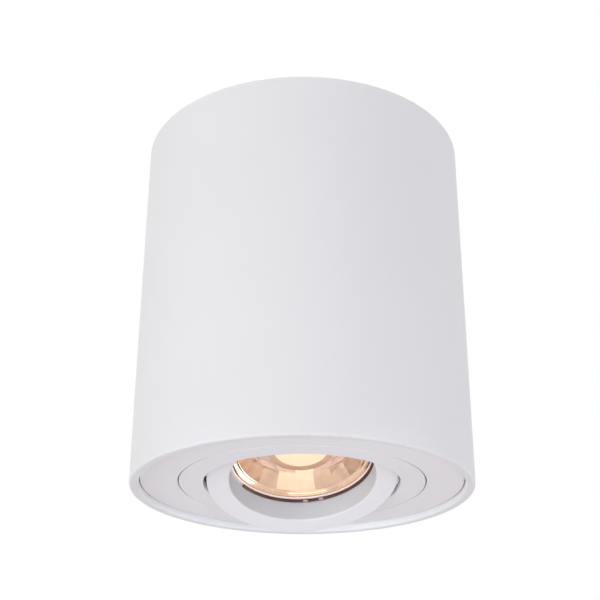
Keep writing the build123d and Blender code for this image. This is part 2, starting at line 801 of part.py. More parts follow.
# Faceted reflector: a bowl with one band of flat facets, and a post in its middle for the emitter
lip_radius = emitter_radius + hole_gap + reflector_lip_width
with BuildPart() as lamp_reflector:
    with BuildSketch(meridian(tilt_frame)):
        with BuildLine():
            Polyline(
                (0, lens_back),
                (lens_window, lens_back),
                (reflector_floor_radius + reflector_wall, reflector_back),
                (0, reflector_back),
                close=True,
            )
        make_face()
    revolve(axis=spin_axis(tilt_frame))
    for radius, depth in (
        (lens_window - hole_gap, lens_back),
        (reflector_floor_radius, reflector_floor),
    ):
        with BuildSketch(tilt_frame.offset(depth)):
            RegularPolygon(radius, facet_count, rotation=facet_turn)
    loft(mode=Mode.SUBTRACT)
    with BuildSketch(tilt_frame.offset(emitter_front)):
        Circle(lip_radius)
    extrude(amount=reflector_back - emitter_front)
    with BuildSketch(tilt_frame.offset(emitter_front)):
        Circle(emitter_radius + hole_gap)
    extrude(amount=reflector_back - emitter_front, mode=Mode.SUBTRACT)
lamp_reflector.part.label = "lamp_reflector"

# Emitter: a thick diffuser on the light source's board, flush with the post
with BuildPart() as lamp_emitter:
    with BuildSketch(tilt_frame.offset(emitter_front)):
        Circle(emitter_radius)
    extrude(amount=reflector_back - emitter_front)
    fillet(lamp_emitter.faces().sort_by(spin_axis(tilt_frame))[0].edges(), edge_round)
lamp_emitter.part.label = "lamp_emitter"

# Lamp shell: a curved cup from the lens back to the neck
shell_front_radius = lamp_radius - hole_gap
shell_bend = (
    (shell_front_radius + lamp_neck_radius) / 2 + 3.0,
    (lens_back + lamp_neck_front) / 2,
)
with BuildPart() as lamp_shell:
    with BuildSketch(meridian(tilt_frame)):
        with BuildLine():
            outside = ThreePointArc(
                (shell_front_radius, lens_back), shell_bend, (lamp_neck_radius, lamp_neck_front)
            )
            inside = ThreePointArc(
                (lamp_neck_radius - lamp_wall, lamp_neck_front),
                (shell_bend[0] - lamp_wall, shell_bend[1] - lamp_wall / 2),
                (shell_front_radius - lamp_wall, lens_back),
            )
            Line(outside @ 1, inside @ 0)
            Line(inside @ 1, outside @ 0)
        make_face()
    revolve(axis=spin_axis(tilt_frame))
lamp_shell.part.label = "lamp_shell"

# Boards: the light source's board behind the reflector, the driver's board along the axis
led_board_radius = reflector_floor_radius + reflector_wall - seat_gap
with BuildPart() as lamp_led_board:
    with BuildSketch(tilt_frame.offset(reflector_back)):
        Circle(led_board_radius)
    extrude(amount=board_thickness)
lamp_led_board.part.label = "lamp_led_board"

driver_front = reflector_back + board_thickness
driver_back = lamp_back - lamp_wall - seat_gap
with BuildPart() as lamp_driver_board:
    with BuildSketch(tilt_frame.offset(driver_front)):
        Rectangle(driver_width, board_thickness)
    extrude(amount=driver_back - driver_front)
    with BuildSketch(tilt_frame.offset(driver_front + 3)):
        with Locations((0, board_thickness / 2 + 2.6)):
            Circle(3.0)
        with Locations((0, -board_thickness / 2 - 2.0)):
            Rectangle(8.0, 4.0)
    extrude(amount=9.0)
lamp_driver_board.part.label = "lamp_driver_board"

# Lamp base: the neck behind the shell, closed at the back, with the two pins
with BuildPart() as lamp_base:
    with BuildSketch(tilt_frame.offset(lamp_neck_front)):
        Circle(lamp_neck_radius)
    extrude(amount=lamp_neck_length)
    with BuildSketch(tilt_frame.offset(lamp_neck_front)):
        Circle(lamp_neck_radius - lamp_wall)
    extrude(amount=lamp_neck_length - lamp_wall, mode=Mode.SUBTRACT)
    with BuildSketch(tilt_frame.offset(lamp_back)):
        with GridLocations(pin_spacing, 0, 2, 1):
            Circle(pin_radius + running_gap)
    extrude(amount=-lamp_wall, mode=Mode.SUBTRACT)
lamp_base.part.label = "lamp_base"

with BuildPart() as lamp_pins:
    with BuildSketch(tilt_frame.offset(lamp_back - lamp_wall)):
        with GridLocations(pin_spacing, 0, 2, 1):
            Circle(pin_radius)
    extrude(amount=pin_end - lamp_back + lamp_wall)
    with BuildSketch(tilt_frame.offset(pin_head_front)):
        with GridLocations(pin_spacing, 0, 2, 1):
            Circle(pin_head_radius)
    extrude(amount=pin_head_height)
lamp_pins.part.label = "lamp_pins"

# Leads from the terminal block to the lampholder, and from the earth pole to its tag
lead_start_y = block_y + 2
lamp_leads = {}
for name, pole, side in (("live_lead", -1, -1), ("neutral_lead", 0, 1)):
    pole_end = Vector(pole * pole_pitch, lead_start_y, pole_z)
    pole_exit = Vector(pole * pole_pitch, block_front + 12, pole_z)
    holder_exit = tilt_frame.from_local_coords((side * holder_lead_x, holder_lead_y, cap_back + 15))
    holder_end = tilt_frame.from_local_coords((side * holder_lead_x, holder_lead_y, lead_end))
    bow = (pole_exit + holder_exit) * 0.5 + Vector(0, 4.6, 3.2)
    points = [pole_end, pole_exit, bow, holder_exit, holder_end]
    radii = lead_route(points)
    print(name, "radii", [round(radius, 1) for radius in radii])
    with BuildPart() as lead:
        with BuildLine() as route:
            FilletPolyline(*points, radius=radii)
        with BuildSketch(Plane(origin=route.line @ 0, z_dir=route.line % 0)):
            Circle(lead_radius)
        sweep()
    lead.part.label = name
    lamp_leads[name] = lead.part

earth_points = [
    Vector(pole_pitch, lead_start_y, pole_z),
    Vector(pole_pitch, block_front + 4, pole_z),
    Vector((pole_pitch + earth_x) / 2, block_front + 11, (pole_z + barrel_z) / 2),
    Vector(earth_x, earth_y - tag_radius - barrel_length - 4.5, barrel_z),
    Vector(earth_x, earth_y - tag_radius - barrel_length / 3, barrel_z),
]
earth_radii = lead_route(earth_points)
print("earth_lead radii", [round(radius, 1) for radius in earth_radii])
with BuildPart() as earth_lead:
    with BuildLine() as earth_route:
        FilletPolyline(*earth_points, radius=earth_radii)
    with BuildSketch(Plane(origin=earth_route.line @ 0, z_dir=earth_route.line % 0)):
        Circle(lead_radius)
    sweep()
earth_lead.part.label = "earth_lead"

os.makedirs("parts", exist_ok=True)
export_step(housing_tube.part, "parts/housing_tube.step")
export_step(ceiling_plate.part, "parts/ceiling_plate.step")
export_step(ceiling_plate_screws.part, "parts/ceiling_plate_screws.step")
export_step(cable_grommet.part, "parts/cable_grommet.step")
export_step(terminal_block.part, "parts/terminal_block.step")
export_step(terminal_clamps.part, "parts/terminal_clamps.step")
export_step(terminal_screws.part, "parts/terminal_screws.step")
export_step(terminal_fixing_screws.part, "parts/terminal_fixing_screws.step")
export_step(earth_tag.part, "parts/earth_tag.step")
export_step(earth_screw.part, "parts/earth_screw.step")
export_step(earth_lead.part, "parts/earth_lead.step")
export_step(front_bezel.part, "parts/front_bezel.step")
export_step(bezel_springs.part, "parts/bezel_springs.step")
export_step(bezel_rivets.part, "parts/bezel_rivets.step")
export_step(swivel_retainers.part, "parts/swivel_retainers.step")
export_step(retainer_screws.part, "parts/retainer_screws.step")
export_step(swivel_ring.part, "parts/swivel_ring.step")
export_step(pivot_spacers.part, "parts/pivot_spacers.step")
export_step(pivot_springs.part, "parts/pivot_springs.step")
export_step(tilt_ring.part, "parts/tilt_ring.step")
export_step(lamp_retaining_wire.part, "parts/lamp_retaining_wire.step")
export_step(wire_sleeves.part, "parts/wire_sleeves.step")
export_step(pivot_screws.part, "parts/pivot_screws.step")
export_step(lampholder_bracket.part, "parts/lampholder_bracket.step")
export_step(bracket_screws.part, "parts/bracket_screws.step")
export_step(lampholder_body.part, "parts/lampholder_body.step")
export_step(lampholder_cap.part, "parts/lampholder_cap.step")
export_step(lampholder_contacts.part, "parts/lampholder_contacts.step")
export_step(lampholder_screws.part, "parts/lampholder_screws.step")
export_step(lamp_lens.part, "parts/lamp_lens.step")
export_step(lamp_reflector.part, "parts/lamp_reflector.step")
export_step(lamp_emitter.part, "parts/lamp_emitter.step")
export_step(lamp_shell.part, "parts/lamp_shell.step")
export_step(lamp_led_board.part, "parts/lamp_led_board.step")
export_step(lamp_driver_board.part, "parts/lamp_driver_board.step")
export_step(lamp_base.part, "parts/lamp_base.step")
export_step(lamp_pins.part, "parts/lamp_pins.step")
for name, lead_part in lamp_leads.items():
    export_step(lead_part, f"parts/{name}.step")
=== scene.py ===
import json
import math

import bpy
from bpy.props import FloatProperty, FloatVectorProperty, IntProperty, PointerProperty
from mathutils import Matrix, Vector

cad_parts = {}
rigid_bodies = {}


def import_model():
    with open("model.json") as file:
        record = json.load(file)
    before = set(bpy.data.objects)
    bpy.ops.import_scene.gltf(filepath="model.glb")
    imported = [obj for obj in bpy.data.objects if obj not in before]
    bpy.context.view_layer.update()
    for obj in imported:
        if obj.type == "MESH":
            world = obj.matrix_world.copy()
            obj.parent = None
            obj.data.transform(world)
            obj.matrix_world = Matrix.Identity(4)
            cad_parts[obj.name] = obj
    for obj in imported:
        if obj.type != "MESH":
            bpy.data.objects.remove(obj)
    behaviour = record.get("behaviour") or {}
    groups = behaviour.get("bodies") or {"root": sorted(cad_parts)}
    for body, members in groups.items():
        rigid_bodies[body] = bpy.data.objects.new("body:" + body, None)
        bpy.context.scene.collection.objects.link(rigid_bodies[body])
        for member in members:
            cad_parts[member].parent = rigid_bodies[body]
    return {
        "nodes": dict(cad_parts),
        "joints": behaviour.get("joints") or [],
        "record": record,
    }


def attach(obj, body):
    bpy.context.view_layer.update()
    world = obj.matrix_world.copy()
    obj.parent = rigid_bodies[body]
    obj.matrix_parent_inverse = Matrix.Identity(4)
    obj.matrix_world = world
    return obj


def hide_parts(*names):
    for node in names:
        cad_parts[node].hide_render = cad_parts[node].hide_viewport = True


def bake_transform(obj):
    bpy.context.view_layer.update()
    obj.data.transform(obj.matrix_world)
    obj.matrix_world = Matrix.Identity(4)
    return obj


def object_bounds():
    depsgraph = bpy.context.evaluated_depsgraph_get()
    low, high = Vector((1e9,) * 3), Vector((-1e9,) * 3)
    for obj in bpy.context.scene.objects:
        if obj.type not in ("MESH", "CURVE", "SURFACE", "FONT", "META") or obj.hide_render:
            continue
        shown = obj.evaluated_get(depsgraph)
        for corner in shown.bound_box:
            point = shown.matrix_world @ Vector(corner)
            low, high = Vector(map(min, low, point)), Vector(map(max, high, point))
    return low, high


bl_info = {
    "name": "Ceiling spotlight",
    "version": (1, 0, 0),
    "blender": (4, 5, 0),
    "location": "3D View > Sidebar > Spotlight",
    "description": "Dresses the packed ceiling spotlight and sets up its studio",
    "category": "Object",
}

# The frame is loaded into an empty scene, so that its box is the object's alone
for leftover in list(bpy.data.objects):
    bpy.data.objects.remove(leftover)
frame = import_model()
cad_low, cad_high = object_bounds()
nodes = frame["nodes"]
joints = {joint["name"]: joint for joint in frame["joints"]}
slots = {part["node"]: part["material_slot"] for part in frame["record"]["subparts"]}
finishes = {}

# Bends under these angles, in degrees, are shaded smooth
SMOOTH = 20.0
SMOOTH_FINE_STEPS = 6.0
SMOOTH_LEADS = 50.0

# The part of a noise's range that a finish's tone and gloss follow
NOISE_LOW = 0.3
NOISE_HIGH = 0.7

BLACK = (0.0, 0.0, 0.0, 1.0)
WHITE = (1.0, 1.0, 1.0, 1.0)


def lamp_frame():
    """The frame of the tilted lamp: x along the ring's pivot, z back along the lamp's axis."""
    across = -Vector(joints["ring_tilt"]["axis"])
    back = Vector(joints["lamp_twist"]["axis"])
    matrix = Matrix((across, back.cross(across), back)).transposed().to_4x4()
    matrix.translation = Vector(joints["ring_tilt"]["pos_m"])
    return matrix


lamp_place = lamp_frame()


def reach(node):
    """A lamp node's largest radius about the lamp's axis, and its front and back along it."""
    places = [lamp_place.inverted() @ vertex.co for vertex in nodes[node].data.vertices]
    radius = max(math.hypot(place.x, place.y) for place in places)
    depths = [place.z for place in places]
    return radius, min(depths), max(depths)


def length(name, description, default):
    """A size in metres."""
    return FloatProperty(
        name=name, description=description, default=default, unit="LENGTH", precision=5
    )


def angle(name, description, degrees):
    """An angle, written in degrees."""
    return FloatProperty(
        name=name, description=description, default=math.radians(degrees), subtype="ANGLE"
    )


def number(name, description, default):
    """A plain number, such as a share, a strength or a power."""
    return FloatProperty(name=name, description=description, default=default)


def count(name, description, default, lowest):
    """A whole number with a lowest value."""
    return IntProperty(name=name, description=description, default=default, min=lowest)


def point(name, description, default):
    """A place in metres."""
    return FloatVectorProperty(
        name=name, description=description, default=default, subtype="TRANSLATION", size=3
    )


def colour(name, description, default):
    """A colour in linear light."""
    return FloatVectorProperty(
        name=name, description=description, default=default,
        subtype="COLOR", size=3, min=0.0, max=1.0,
    )


class SpotlightLamp(bpy.types.PropertyGroup):
    """Sizes of the lamp's modelled pieces."""

    window_radius: length("Window radius", "Radius of the lens's flat window", 0.0226)
    window_inset: length("Window inset", "How far the window lies behind the rim", 0.0007)
    step_height: length("Step height", "Height of the fine step inside the rim", 0.00035)
    step_width: length("Step width", "Width of the fine step inside the rim", 0.0005)
    bead_radius: length("Bead radius", "Radius of the round bead on the rim", 0.0002)
    bead_sides: count("Bead sides", "Sides of the bead's half round", 12, 4)
    clearance: length("Clearance", "Gap between two pieces of the lamp", 0.00005)
    lens_gap: length("Lens gap", "Gap between the lens and the flange behind it", 0.0002)
    skirt_wall: length("Skirt wall", "Wall of the bead's skirt round the flange", 0.0001)
    facet_count: count("Facets", "Number of flat facets round the reflector", 19, 6)
    facet_turn: angle("Facet turn", "Turn of the facets about the lamp's axis", -2.6)
    facet_edge: length("Facet edge", "Width of the worn edge between two facets", 0.0001)
    facet_bend: angle("Facet bend", "Least bend that counts as a facet's edge", 6.0)
    facet_radius: length("Facet radius", "Radius at the facets' front corners", 0.0225)
    floor_radius: length("Floor radius", "Radius at the foot of the facets", 0.0189)
    floor_depth: length("Floor depth", "Depth of the facets", 0.0055)
    reflector_wall: length("Reflector wall", "Wall of the reflector", 0.0007)
    flange_bore: length("Flange bore", "Inner radius of the reflector's flange", 0.02215)
    flange_edge: length("Flange edge", "Outer radius of the reflector's flange", 0.0248)
    flange_steps: count("Flange steps", "Fine steps of the flange", 3, 1)
    flange_rise: length("Flange rise", "How far the flange rises under the lens rim", 0.00102)
    flange_thickness: length("Flange thickness", "Thickness of the flange", 0.0001)
    band_width: number("Band width", "Share of a step's width in its flatter band", 0.22)
    band_rise: number("Band rise", "Share of a step's rise in its flatter band", 0.14)
    post_wall: length("Post wall", "Width of the lip round the glowing disc", 0.0023)
    post_edge: length("Post edge", "Chamfer at the lip's outer edge", 0.000175)
    post_draft: length("Post draft", "How far the post widens towards the floor", 0.0004)
    disc_crown: length("Disc crown", "How far the glowing disc bulges", 0.00012)
    sides: count("Sides", "Sides of a turned piece", 128, 24)


class SpotlightLeads(bpy.types.PropertyGroup):
    """Sizes of the two leads to the lampholder and of the earth lead."""

    radius: length("Lead radius", "Outer radius of a lead's sleeve", 0.0011)
    along: count("Steps along", "Steps along each bend of a lead", 16, 4)
    around: count("Steps round", "Steps of a lead's round section", 5, 2)
    pole_pitch: length("Pole pitch", "Distance between two poles of the block", 0.010)
    start_y: length("Start", "Place along Y of a lead's end in its pole", -0.012)
    exit_y: length("Exit", "Place along Y where a lead starts to bend down", 0.006)
    pole_z: length("Pole height", "Height of the poles", -0.0085)
    holder_x: length("Holder side", "Distance of a lead from the holder's middle", 0.0045)
    holder_y: length("Holder offset", "Distance of the leads from the bracket", 0.00555)
    holder_entry: length("Holder entry", "How far a lead goes into the lampholder", 0.003)
    holder_rise: length("Holder rise", "Straight run of a lead out of the lampholder", 0.015)
    bow_y: length("Bow across", "How far a lead's middle bows across", 0.0046)
    bow_z: length("Bow up", "How far a lead's middle bows up", 0.0032)
    tag_x: length("Tag side", "Place along X of the earth tag", 0.026)
    tag_y: length("Tag entry", "Place along Y of the earth lead's end in its tag", 0.01765)
    tag_z: length("Tag height", "Height of the earth tag's barrel", -0.0046)
    tag_run: length("Tag run", "Run of the earth lead up to its tag's end", 0.009)
    tag_hold: number("Tag hold", "Share of that run that is held straight", 0.6)
    block_run: length("Block run", "Run of the earth lead from its end in the pole", 0.010)
    block_hold: number("Block hold", "Share of that run that is held straight", 0.7)


class SpotlightColours(bpy.types.PropertyGroup):
    """Colours of the finishes and the lights."""

    coat: colour("Tube coat", "Powder coat of the tube", (0.88, 0.88, 0.873))
    # Painted shade: a darker tone for the tube's lower rim, which stands in for the shade that
    # falls there.
    painted_rim_shade: colour("Rim coat", "Powder coat on the tube's lower rim", (0.78, 0.765, 0.765))
    ring_coat: colour("Ring coat", "Powder coat of bezel and rings", (0.832, 0.802, 0.802))
    key_light: colour("Key light", "Light at the left and of the cards", (1.0, 1.0, 0.95))
    soft_light: colour("Soft light", "Light all round and from below", (0.955, 0.945, 1.0))
    recess_light: colour("Recess light", "Beams into the recess", (0.50, 0.78, 1.0))
    copper: colour("Copper mirror", "Metal coat of the facets", (0.84, 0.58, 0.41))
    pale_copper: colour("Pale copper", "Metal coat of the floor", (0.90, 0.74, 0.68))
    dark_copper: colour("Dark copper", "Metal coat of the lip", (0.61, 0.315, 0.165))
    # Painted light: tone of the glow painted into the reflector floor's emission.
    painted_floor_glow: colour("Floor glow", "Stray light on the floor", (0.95, 0.74, 0.68))
    # Also the tone of the glow painted into the reflector's copper coats.
    glow: colour("Glow", "Light of the disc", (0.94, 0.80, 0.52))
    glass: colour("Lens", "Tint of the clear lens", (1.0, 0.965, 0.955))
    # Also the tone of the frosted rim's painted glow.
    frost: colour("Lens rim", "Frosted edge of the lens", (0.96, 0.80, 0.74))
    wire: colour("Retaining wire", "Dark spring wire", (0.17, 0.09, 0.065))
    wire_sleeve: colour("Wire sleeve", "Sleeves on the retaining wire", (0.56, 0.42, 0.37))
    live: colour("Live sleeve", "Sleeve of the live lead", (0.17, 0.055, 0.022))
    neutral: colour("Neutral sleeve", "Sleeve of the neutral lead", (0.02, 0.08, 0.36))
    earth: colour("Earth sleeve", "Sleeve of the earth lead", (0.06, 0.28, 0.03))


class SpotlightStudio(bpy.types.PropertyGroup):
    """Camera, lights and floor."""

    lens: number("Lens", "Focal length in millimetres", 70.528)
    picture_width: number("Picture width", "Width of the sensor in millimetres", 36.0)
    nearest: length("Nearest", "Distance at which the camera starts to see", 0.01)
    camera_distance: length("Camera distance", "Distance in front of the tube", 0.39205)
    camera_height: length("Camera height", "Height, from the ceiling face", -0.24468)
    camera_pitch: angle("Pitch", "How far the camera looks up", 25.55)
    camera_turn: angle("Turn", "How far the camera turns to the left", 0.14)
    camera_roll: angle("Roll", "How far the camera leans", 0.20)
    sky: number("Sky", "Strength of the light all round", 0.63)
    key_light_place: point("Key place", "Place of the light at the left", (-1.6, -0.6, -0.65))
    key_light_size: length("Key size", "Width of the light at the left", 1.0)
    key_light_power: number("Key power", "Power of the light at the left", 8.5)
    fill_light_place: point("Fill place", "Place of the light below", (0.2, -1.1, -0.75))
    fill_light_size: length("Fill size", "Width of the light below", 0.8)
    fill_light_power: number("Fill power", "Power of the light below", 5.0)
    back_light_place: point("Back place", "Place of the light behind", (1.5, 1.2, -0.4))
    back_light_size: length("Back size", "Width of the light behind", 1.0)
    back_light_power: number("Back power", "Power of the light behind", 3.0)
    rim_light_place: point("Rim place", "Place of the lens rim's light", (0.34, 0.225, -0.565))
    rim_light_size: length("Rim size", "Width of the lens rim's light", 0.35)
    rim_light_power: number("Rim power", "Power of the lens rim's light", 1.5)
    front_card_place: point("Card place", "Place of the mirrored card", (0.235, -1.156, -0.405))
    front_card_size: length("Card size", "Width of the mirrored card", 1.0)
    front_card_power: number("Card power", "Power of the mirrored card", 1.7)
    low_card_place: point("Low place", "Place of the small card below", (0.0, -0.132, -0.714))
    low_card_size: length("Low size", "Width of the small card below", 0.26)
    low_card_power: number("Low power", "Power of the small card below", 0.18)
    recess_place: point("Recess place", "Place of the right recess beam", (0.30, -0.46, -0.32))
    recess_target: point("Recess target", "Where that beam points", (-0.013, 0.015, -0.1305))
    recess_width: angle("Recess width", "Width of each beam into the recess", 6.8)
    recess_source: length("Recess source", "Radius of each beam's source", 0.012)
    recess_power: number("Recess power", "Power of each beam into the recess", 2.0)
    floor_height: length("Floor height", "Height of the floor", -0.9)
    floor_size: length("Floor size", "Side of the floor", 8.0)
    floor_white: number("Floor white", "Share of plain white in the floor as it is seen", 0.85)


def start_material(name):
    """A new material, its shader and the object's own coordinates."""
    material = bpy.data.materials.new(name)
    material.use_nodes = True
    coordinates = material.node_tree.nodes.new("ShaderNodeTexCoord")
    return material, material.node_tree.nodes["Principled BSDF"], coordinates.outputs["Object"]


def add_node(material, kind, inputs, **settings):
    """A node with its settings, and with inputs that are values or other nodes' outputs."""
    node = material.node_tree.nodes.new(kind)
    for name, value in settings.items():
        setattr(node, name, value)
    for name, value in inputs.items():
        if isinstance(value, bpy.types.NodeSocket):
            material.node_tree.links.new(value, node.inputs[name])
        else:
            node.inputs[name].default_value = value
    return node


def stretched(material, place, scale):
    """The coordinates scaled along each axis."""
    mapping = add_node(material, "ShaderNodeMapping", {"Vector": place, "Scale": scale})
    return mapping.outputs["Vector"]


def noise(material, place, grain, detail=3.0):
    """Soft noise whose grain is a length in metres."""
    inputs = {"Vector": place, "Scale": 1.0 / grain, "Detail": detail}
    return add_node(material, "ShaderNodeTexNoise", inputs).outputs["Fac"]


def cells(material, place, grain):
    """Distance to the middle of the nearest cell, for cells of a size in metres."""
    inputs = {"Vector": place, "Scale": 1.0 / grain}
    return add_node(material, "ShaderNodeTexVoronoi", inputs).outputs["Distance"]


def shades(material, factor, dark, light):
    """A colour that runs from dark to light with a factor."""
    ramp = add_node(material, "ShaderNodeValToRGB", {"Fac": factor})
    stops = zip(ramp.color_ramp.elements, (NOISE_LOW, NOISE_HIGH), (dark, light))
    for stop, position, tone in stops:
        stop.position = position
        stop.color = (*tone, 1.0)
    return ramp.outputs["Color"]


def mixed(material, share, first, second):
    """Two colours mixed by a share of the second."""
    inputs = {"Fac": share, "Color1": first, "Color2": second}
    return add_node(material, "ShaderNodeMixRGB", inputs).outputs["Color"]


def ranged(material, value, span, low, high):
    """A number that runs from low to high while a value runs through its span."""
    start, end = span
    inputs = {"Value": value, "From Min": start, "From Max": end, "To Min": low, "To Max": high}
    return add_node(material, "ShaderNodeMapRange", inputs).outputs["Result"]


def spread(material, factor, low, high):
    """A number that runs from low to high with a noise."""
    return ranged(material, factor, (NOISE_LOW, NOISE_HIGH), low, high)


def lighter(tone, share):
    """A colour made lighter or darker by a share."""
    return tuple(min(1.0, part * share) for part in tone)


def link(material, output, shader, name):
    """Joins an output to one of the shader's inputs."""
    material.node_tree.links.new(output, shader.inputs[name])


def relief(material, shader, height, depth, strength):
    """Gives the surface relief of a depth in metres."""
    inputs = {"Height": height, "Distance": depth, "Strength": strength}
    bump = add_node(material, "ShaderNodeBump", inputs)
    link(material, bump.outputs["Normal"], shader, "Normal")


def powder_coat(name, tone, rim=None, rim_height=0.0006):
    """Matt powder coat: orange peel, faint drift, and painted shade that darkens the tube's lower
    rim.
    """
    material, shader, place = start_material(name)
    drift = noise(material, place, grain=0.06, detail=2.0)
    peel = noise(material, place, grain=0.0009, detail=2.0)
    coat = shades(material, drift, lighter(tone, 0.985), lighter(tone, 1.01))
    # Painted shade: the coat darkens towards the tube's bottom edge, over the rim's height.
    if rim is not None:
        bottom = min(vertex.co.z for vertex in nodes["housing_tube"].data.vertices)
        height = add_node(material, "ShaderNodeSeparateXYZ", {"Vector": place}).outputs["Z"]
        share = ranged(material, height, (bottom, bottom + rim_height), low=1.0, high=0.0)
        coat = mixed(material, share, coat, (*rim, 1.0))
    link(material, coat, shader, "Base Color")
    link(material, spread(material, peel, low=0.46, high=0.58), shader, "Roughness")
    relief(material, shader, peel, depth=0.00003, strength=0.35)
    shader.inputs["Specular IOR Level"].default_value = 0.3
    return material


def bare_metal(name, dark, light, grain, gloss, stretch=(1.0, 1.0, 1.0)):
    """Bare metal with streaks along one axis, cloudy tone, and gloss that follows the streaks."""
    material, shader, place = start_material(name)
    streaks = noise(material, stretched(material, place, stretch), grain, detail=5.0)
    clouds = noise(material, place, grain=0.005, detail=3.0)
    cloud_tone = shades(material, clouds, dark, light)
    streak_tone = shades(material, streaks, dark, light)
    link(material, mixed(material, 0.5, cloud_tone, streak_tone), shader, "Base Color")
    link(material, spread(material, streaks, *gloss), shader, "Roughness")
    relief(material, shader, streaks, depth=0.00001, strength=0.3)
    shader.inputs["Metallic"].default_value = 1.0
    return material


def moulded(name, dark, light, gloss, grain, depth):
    """Moulded plastic, rubber or ceramic: fine grain in the relief, and clouds in the tone."""
    material, shader, place = start_material(name)
    clouds = noise(material, place, grain=0.008, detail=4.0)
    texture = noise(material, place, grain, detail=4.0)
    link(material, shades(material, clouds, dark, light), shader, "Base Color")
    link(material, spread(material, texture, *gloss), shader, "Roughness")
    relief(material, shader, texture, depth, strength=0.5)
    return material


def sleeve(name, tone):
    """Braided sleeve of a lead: small crossed ridges over a cloudy tone."""
    material, shader, place = start_material(name)
    braid = cells(material, place, grain=0.0006)
    clouds = noise(material, place, grain=0.003, detail=3.0)
    cloud_tone = shades(material, clouds, lighter(tone, 0.75), lighter(tone, 1.2))
    link(material, cloud_tone, shader, "Base Color")
    link(material, spread(material, braid, low=0.45, high=0.7), shader, "Roughness")
    relief(material, shader, braid, depth=0.00008, strength=0.6)
    return material


def clear_lens(name, tone):
    """Clear lens with a faint tint, a soft ripple and a trace of haze."""
    material, shader, place = start_material(name)
    ripple = noise(material, place, grain=0.004, detail=2.0)
    link(material, shades(material, ripple, lighter(tone, 0.985), tone), shader, "Base Color")
    link(material, spread(material, ripple, low=0.0, high=0.01), shader, "Roughness")
    relief(material, shader, ripple, depth=0.000004, strength=0.1)
    shader.inputs["Transmission Weight"].default_value = 1.0
    shader.inputs["IOR"].default_value = 1.49
    return material


def frosted_rim(name, tone):
    """Frosted edge of the lens, with a painted glow in its emission that stands in for the light
    the lens carries to it.
    """
    material, shader, place = start_material(name)
    frost = noise(material, place, grain=0.0006, detail=3.0)
    link(material, shades(material, frost, lighter(tone, 0.93), tone), shader, "Base Color")
    link(material, spread(material, frost, low=0.08, high=0.16), shader, "Roughness")
    relief(material, shader, frost, depth=0.000004, strength=0.3)
    painted_rim_glow = shades(material, frost, lighter(tone, 0.9), tone)
    link(material, painted_rim_glow, shader, "Emission Color")
    # Painted light: the frosted rim glows though it is no lamp.
    shader.inputs["Emission Strength"].default_value = 0.32
    shader.inputs["Transmission Weight"].default_value = 0.25
    shader.inputs["IOR"].default_value = 1.49
    return material


def copper_mirror(name, tone, glow, strength):
    """Copper-toned metal coat: cloudy tone, fine ripple, soft gloss, and a little painted glow in
    its emission that stands in for light from the lit disc.
    """
    material, shader, place = start_material(name)
    clouds = noise(material, place, grain=0.003, detail=3.0)
    ripple = noise(material, place, grain=0.0008, detail=2.0)
    cloud_tone = shades(material, clouds, lighter(tone, 0.95), lighter(tone, 1.03))
    link(material, cloud_tone, shader, "Base Color")
    link(material, spread(material, ripple, low=0.06, high=0.11), shader, "Roughness")
    relief(material, shader, ripple, depth=0.000004, strength=0.3)
    painted_stray_glow = shades(material, clouds, lighter(glow, 0.9), glow)
    link(material, painted_stray_glow, shader, "Emission Color")
    # Painted light: the metal glows a little though it is no lamp.
    shader.inputs["Emission Strength"].default_value = strength
    shader.inputs["Metallic"].default_value = 1.0
    return material


def glowing_disc(name, tone):
    """Lit diffuser: brightest in the middle, with the light sources faintly seen through it."""
    radius, front, _ = reach("lamp_emitter")
    centre = lamp_place @ Vector((0, 0, front))
    material, shader, place = start_material(name)
    moved = add_node(material, "ShaderNodeMapping", {"Vector": place, "Location": -centre})
    distance = add_node(
        material, "ShaderNodeVectorMath", {0: moved.outputs["Vector"]}, operation="LENGTH"
    ).outputs["Value"]
    middle = ranged(material, distance, (0.0, radius), low=0.75, high=0.25)
    chips = cells(material, place, grain=0.003)
    middle_tone = shades(material, middle, lighter(tone, 0.97), lighter(tone, 1.04))
    chip_tone = shades(material, chips, lighter(tone, 1.05), lighter(tone, 0.93))
    light = mixed(material, 0.15, middle_tone, chip_tone)
    link(material, light, shader, "Emission Color")
    link(material, mixed(material, 0.92, light, BLACK), shader, "Base Color")
    shader.inputs["Emission Strength"].default_value = 1.0
    shader.inputs["Roughness"].default_value = 0.4
    return material


def circuit_board(name):
    """Coated board: dark and light green, with thin pale tracks."""
    material, shader, place = start_material(name)
    track_spacing = 0.006
    inputs = {
        "Vector": place,
        "Scale": 1.0 / track_spacing,
        "Color1": (0.010, 0.075, 0.030, 1.0),
        "Color2": (0.018, 0.11, 0.045, 1.0),
        "Mortar": (0.16, 0.24, 0.10, 1.0),
        "Mortar Size": 0.03,
    }
    tracks = add_node(material, "ShaderNodeTexBrick", inputs)
    lacquer = noise(material, place, grain=0.002)
    link(material, tracks.outputs["Color"], shader, "Base Color")
    link(material, spread(material, lacquer, low=0.25, high=0.45), shader, "Roughness")
    relief(material, shader, tracks.outputs["Fac"], depth=0.00003, strength=0.5)
    return material


